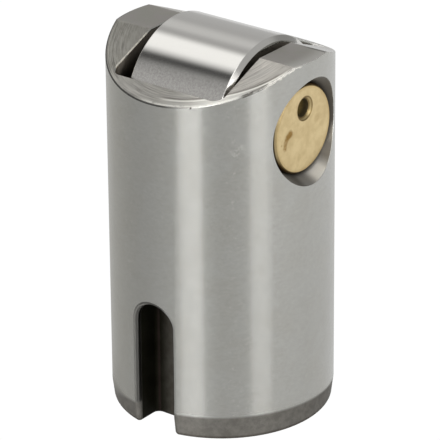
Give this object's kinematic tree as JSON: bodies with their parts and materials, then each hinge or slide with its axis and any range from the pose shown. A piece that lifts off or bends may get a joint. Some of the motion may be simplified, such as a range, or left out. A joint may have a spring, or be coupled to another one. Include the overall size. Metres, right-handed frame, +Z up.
{
  "type": "roller tappet",
  "caption": "Cylindrical roller tappet with a gabled top, a steel roller on a plain bearing-metal pin, an anti-rotation groove and a push rod socket.",
  "frame": {"origin": "tappet axis at the lower face, the bottom centre of the bounding box", "axes": "+Z up along the barrel towards the roller, X along the roller pin with the drilled pin end on the +X side, -Y the side with the guide groove"},
  "size_m": [0.03, 0.03, 0.053],
  "materials": {
    "ground_steel": "finely ground outside diameter, milled top slopes, dark unground lead-in band and groove",
    "polished_steel": "hardened and polished rolling surface",
    "bearing_bronze": "fine turned end face with light stains"
  },
  "bodies": {
    "tappet": {"tappet_body": "ground_steel"},
    "pin": {"roller_pin": "bearing_bronze"},
    "roller": {"roller": "polished_steel"}
  },
  "joints": [
    {"name": "pin_turn", "type": "hinge", "parent": "tappet", "child": "pin", "pos_m": [0, 0, 0.0418], "axis": [1, 0, 0], "continuous": true},
    {"name": "roller_spin", "type": "hinge", "parent": "pin", "child": "roller", "pos_m": [0.0002, 0, 0.0418], "axis": [1, 0, 0], "continuous": true}
  ]
}
